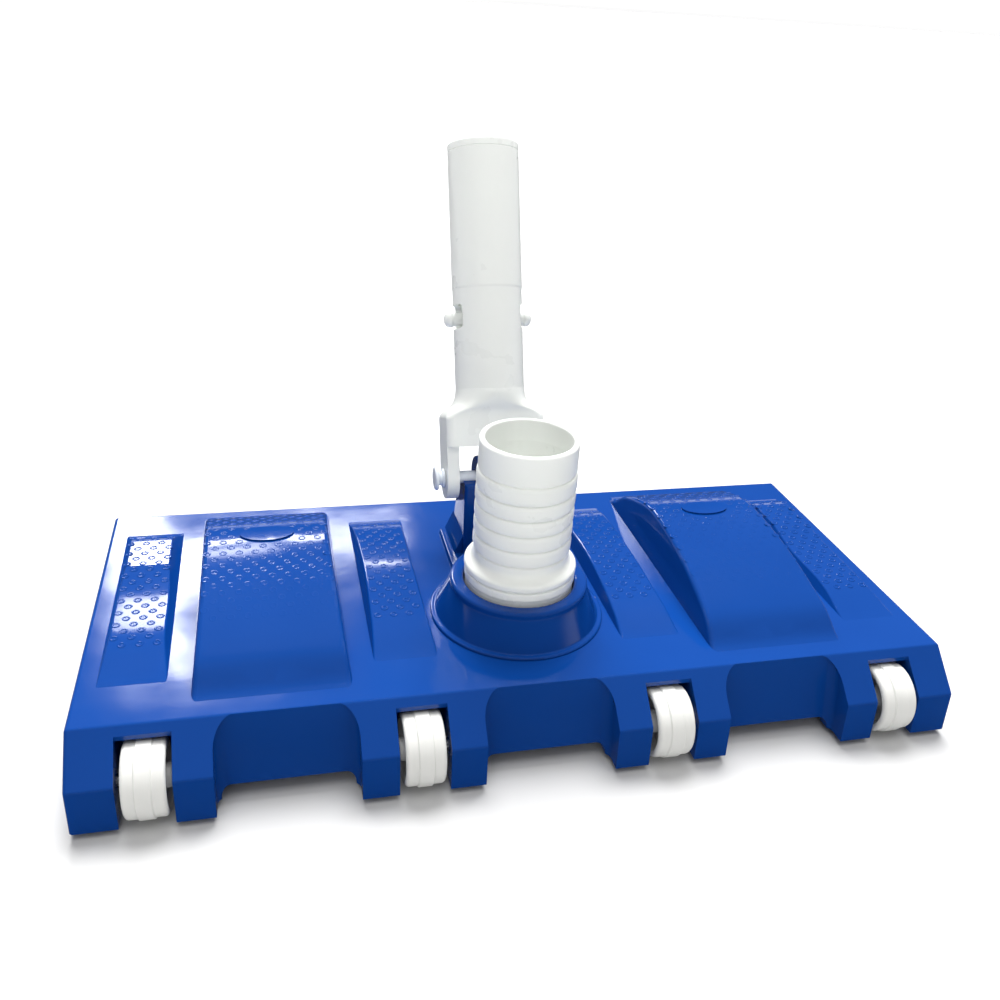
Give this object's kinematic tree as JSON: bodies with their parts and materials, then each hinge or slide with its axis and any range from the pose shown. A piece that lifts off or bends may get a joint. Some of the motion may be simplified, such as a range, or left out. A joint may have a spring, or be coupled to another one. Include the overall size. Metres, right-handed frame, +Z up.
{
  "type": "manual pool vacuum head",
  "caption": "Flexible weighted pool vacuum head with wheels, a ribbed swivel hose spigot and a tilting clevis handle with sprung snap buttons for a pole.",
  "frame": {"origin": "floor under the wheels, at the middle of the overall width and depth", "axes": "+X to the right seen from the front, +Y to the rear, +Z up along the hose spigot; the front is -Y"},
  "size_m": [0.35, 0.1982, 0.2157],
  "materials": {
    "blue_vinyl": "glossy moulded PVC",
    "blue_cover": "satin",
    "black_ring": "satin",
    "ivory_plastic": "glossy moulded ABS",
    "clip_plastic": "satin",
    "white_pin": "glossy",
    "wheel_plastic": "satin",
    "seal_rubber": "matt",
    "stainless": "brushed",
    "iron": "cast"
  },
  "bodies": {
    "body": {"body_shell": "blue_vinyl", "throat_ring": "black_ring", "weight_left": "iron", "weight_right": "iron", "weight_cover_left": "blue_cover", "weight_cover_right": "blue_cover", "pivot_pin": "white_pin", "pin_cap": "white_pin", "cover_screw_left_1": "stainless", "cover_screw_left_2": "stainless", "cover_screw_left_3": "stainless", "cover_screw_left_4": "stainless", "cover_screw_right_1": "stainless", "cover_screw_right_2": "stainless", "cover_screw_right_3": "stainless", "cover_screw_right_4": "stainless", "axle_front_1": "stainless", "axle_front_2": "stainless", "axle_front_3": "stainless", "axle_front_4": "stainless", "axle_rear_1": "stainless", "axle_rear_2": "stainless", "axle_rear_3": "stainless", "axle_rear_4": "stainless"},
    "swivel": {"swivel_connector": "ivory_plastic", "swivel_seal": "seal_rubber"},
    "handle": {"handle_yoke": "ivory_plastic", "clip_bridge": "clip_plastic"},
    "button_left": {"clip_leg_left": "clip_plastic"},
    "button_right": {"clip_leg_right": "clip_plastic"},
    "wheel_front_1": {"wheel_front_1": "wheel_plastic"},
    "wheel_front_2": {"wheel_front_2": "wheel_plastic"},
    "wheel_front_3": {"wheel_front_3": "wheel_plastic"},
    "wheel_front_4": {"wheel_front_4": "wheel_plastic"},
    "wheel_rear_1": {"wheel_rear_1": "wheel_plastic"},
    "wheel_rear_2": {"wheel_rear_2": "wheel_plastic"},
    "wheel_rear_3": {"wheel_rear_3": "wheel_plastic"},
    "wheel_rear_4": {"wheel_rear_4": "wheel_plastic"}
  },
  "joints": [
    {"name": "wheel_front_1_spin", "type": "hinge", "parent": "body", "child": "wheel_front_1", "pos_m": [-0.1488, -0.0834, 0.0147], "axis": [1, 0, 0], "continuous": true},
    {"name": "wheel_front_2_spin", "type": "hinge", "parent": "body", "child": "wheel_front_2", "pos_m": [-0.0496, -0.0834, 0.0147], "axis": [1, 0, 0], "continuous": true},
    {"name": "wheel_front_3_spin", "type": "hinge", "parent": "body", "child": "wheel_front_3", "pos_m": [0.0496, -0.0834, 0.0147], "axis": [1, 0, 0], "continuous": true},
    {"name": "wheel_front_4_spin", "type": "hinge", "parent": "body", "child": "wheel_front_4", "pos_m": [0.1488, -0.0834, 0.0147], "axis": [1, 0, 0], "continuous": true},
    {"name": "wheel_rear_1_spin", "type": "hinge", "parent": "body", "child": "wheel_rear_1", "pos_m": [-0.1488, 0.0808, 0.0147], "axis": [1, 0, 0], "continuous": true},
    {"name": "wheel_rear_2_spin", "type": "hinge", "parent": "body", "child": "wheel_rear_2", "pos_m": [-0.0496, 0.0808, 0.0147], "axis": [1, 0, 0], "continuous": true},
    {"name": "wheel_rear_3_spin", "type": "hinge", "parent": "body", "child": "wheel_rear_3", "pos_m": [0.0496, 0.0808, 0.0147], "axis": [1, 0, 0], "continuous": true},
    {"name": "wheel_rear_4_spin", "type": "hinge", "parent": "body", "child": "wheel_rear_4", "pos_m": [0.1488, 0.0808, 0.0147], "axis": [1, 0, 0], "continuous": true},
    {"name": "hose_swivel", "type": "hinge", "parent": "body", "child": "swivel", "pos_m": [0, -0.0269, 0.044], "axis": [0, 0, 1], "continuous": true},
    {"name": "handle_tilt", "type": "hinge", "parent": "body", "child": "handle", "pos_m": [0, 0.0298, 0.0717], "axis": [-1, 0, 0], "range_deg": [-36, 56]},
    {"name": "button_left_press", "type": "hinge", "parent": "handle", "child": "button_left", "pos_m": [-0.003, 0.04663, 0.11343], "axis": [0, 0.9274, -0.374], "range_deg": [0, 10.5], "stiffness_Nm_per_rad": 1.4, "springref_deg": -2.86},
    {"name": "button_right_press", "type": "hinge", "parent": "handle", "child": "button_right", "pos_m": [0.003, 0.04663, 0.11343], "axis": [0, -0.9274, 0.374], "range_deg": [0, 10.5], "stiffness_Nm_per_rad": 1.4, "springref_deg": -2.86}
  ]
}
